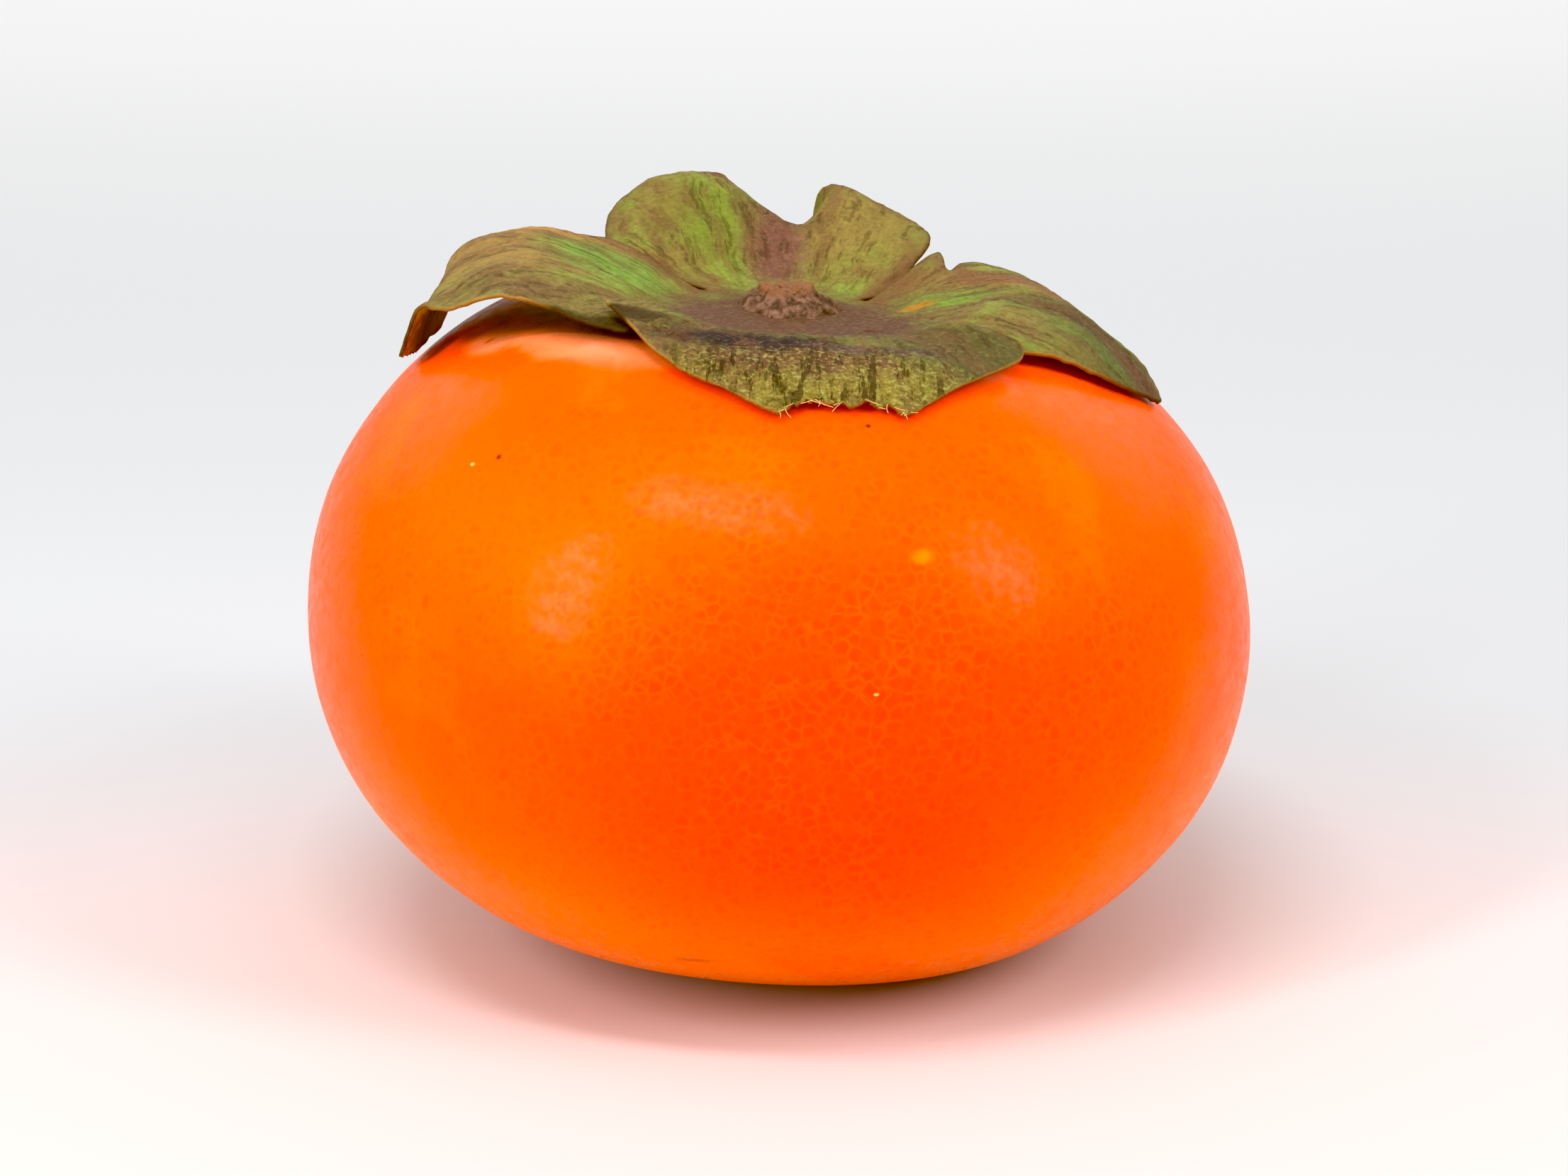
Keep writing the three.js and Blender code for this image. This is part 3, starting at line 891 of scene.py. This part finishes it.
def makeStubMaterial():
    material, tree, shader = newMaterial("broken woody stem", {
        "Roughness": stub["roughness"],
        "Specular IOR Level": stub["specular"],
    })
    place = placeFromStem(tree)
    grain = noiseAt(tree, place, stub["grainScale"], 4.0, 0.65)
    colour = mix(tree, ramp(tree, grain, *stub["grainRamp"]), stub["dark"], stub["pale"])
    top = ramp(tree, plus(tree, partsOf(tree, place)["Z"], grain), *stub["topRamp"])
    colour = mix(tree, top, colour, stub["top"])
    feed(tree, shader.inputs["Base Color"], colour)
    relief = noiseAt(tree, place, stub["bumpScale"], 4.0, 0.7)
    setBump(tree, shader, relief, stub["bumpStrength"], stub["bumpHeight"])
    return material


def makeStub():
    piece = copyOfNode("stem_stub", "broken_stem")
    subdivide(piece, stub["levels"])
    footLevel = min(vertex.co.z for vertex in piece.data.vertices) / mm

    def crumble(place, normal, index):
        lump = roughNoise(place, stub["lumpSize"], stub["finerLumps"], stub["weakerLumps"])
        outwards = Vector((place.x - stemX, place.y, 0)).normalized()
        foot = ease(stub["footHeight"], 0, place.z - footLevel)
        ragged = stub["spread"] + stub["ragged"] * noise.noise(outwards * stub["raggedCount"])
        spread = outwards * foot * ragged - Vector((0, 0, foot * stub["sink"]))
        return normal * stub["lumps"] * lump + spread

    moveVertices(piece, crumble)
    finishPiece(piece, "stem_stub", "stem", makeStubMaterial())


makeStub()
print("stem stub made")


# The floor, the surroundings and the lamps

stage = {
    "size": 6.0,
    "roughness": 0.85,
    "specular": 0.1,
    "near": paint(207, 189, 186),
    "middle": paint(187, 188, 190),
    "far": paint(255, 255, 255),
    "middleRamp": (-0.04, 0.06),  # how far back each colour passes into the next
    "farRamp": (0.1, 0.95),
}

# How bright it is low down, higher up and overhead, and how much of it is left behind the camera. The first
# two ramps run up the directions, and the last one from the camera's side to the far side.
surroundings = {
    "low": 0.45,
    "wall": 1.45,
    "above": 0.4,
    "behindCamera": 0.4,
    "wallRamp": (0.15, 0.42),
    "aboveRamp": (0.6, 0.8),
    "frontRamp": (-0.75, -0.1),
}

# Each lamp: the way to it from the fruit and how far it leans, in degrees, its distance and size in metres,
# and its power in watts. A turn of 0 is towards the camera, and a turn to the right is positive.
lamps = [
    {"name": "overhead", "turn": -5, "rise": 70, "lean": 0, "distance": 0.95, "size": (1.0, 0.8),
     "power": 3.8},
    {"name": "left window", "turn": -49, "rise": 27, "lean": 4, "distance": 0.8, "size": (0.085, 0.56),
     "power": 4.3},
    {"name": "top window", "turn": -18, "rise": 65, "lean": 0, "distance": 0.8, "size": (0.4, 0.09),
     "power": 3.0},
    {"name": "right window", "turn": 60, "rise": 36, "lean": 0, "distance": 0.8, "size": (0.2, 0.42),
     "power": 3.2},
]
lampAim = (0, 0, 0.03)  # what they face

# The weakest red, green and blue that still show.
blackLevel = (0.0, 0.012, 0.035)


def makeFloor():
    bpy.ops.object.select_all(action="DESELECT")
    bpy.ops.mesh.primitive_plane_add(size=stage["size"])
    floor = bpy.context.object
    floor.name = "floor"
    material, tree, shader = newMaterial("pale paper", {
        "Roughness": stage["roughness"],
        "Specular IOR Level": stage["specular"],
    })
    # Painted light on the floor: pinkish near the fruit, for the orange light it throws, greyer in the
    # middle, and white far back, for the brighter light there.
    depth = partsOf(tree, addNode(tree, "TexCoord").outputs["Object"])["Y"]
    colour = mix(tree, ramp(tree, depth, *stage["middleRamp"]), stage["near"], stage["middle"])
    colour = mix(tree, ramp(tree, depth, *stage["farRamp"]), colour, stage["far"])
    feed(tree, shader.inputs["Base Color"], colour)
    floor.data.materials.append(material)


def makeSurroundings():
    world = bpy.data.worlds.new("studio")
    world.use_nodes = True
    bpy.context.scene.world = world
    tree = world.node_tree
    tree.nodes.clear()
    way = partsOf(tree, addNode(tree, "TexCoord").outputs["Generated"])
    wall = ramp(tree, way["Z"], *surroundings["wallRamp"], surroundings["low"], surroundings["wall"])
    above = surroundings["above"]
    level = mix(tree, ramp(tree, way["Z"], *surroundings["aboveRamp"]), wall, (above, above, above, 1))
    front = ramp(tree, way["Y"], *surroundings["frontRamp"], surroundings["behindCamera"], 1.0)
    strength = times(tree, level, front)
    background = addNode(tree, "Background", {"Color": (1, 1, 1, 1), "Strength": strength})
    addNode(tree, "OutputWorld", {0: background.outputs[0]})


def makeLamps():
    for lamp in lamps:
        data = bpy.data.lights.new(lamp["name"], "AREA")
        data.shape = "RECTANGLE"
        data.size, data.size_y = lamp["size"]
        data.energy = lamp["power"]
        holder = bpy.data.objects.new(lamp["name"], data)
        bpy.context.scene.collection.objects.link(holder)
        turn, rise = radians(lamp["turn"]), radians(lamp["rise"])
        way = Vector((sin(turn) * cos(rise), -cos(turn) * cos(rise), sin(rise)))
        holder.location = Vector(lampAim) + way * lamp["distance"]
        aim = (-way).to_track_quat("-Z", "Y")
        holder.rotation_euler = (aim @ Quaternion((0, 0, 1), radians(lamp["lean"]))).to_euler()


# The weakest green and blue are held back, which keeps the orange clean.
def setColours():
    view = bpy.context.scene.view_settings
    view.view_transform = "Standard"
    view.use_curve_mapping = True
    view.curve_mapping.black_level = blackLevel
    view.curve_mapping.update()


makeFloor()
makeSurroundings()
makeLamps()
setColours()
print("floor and lamps placed")
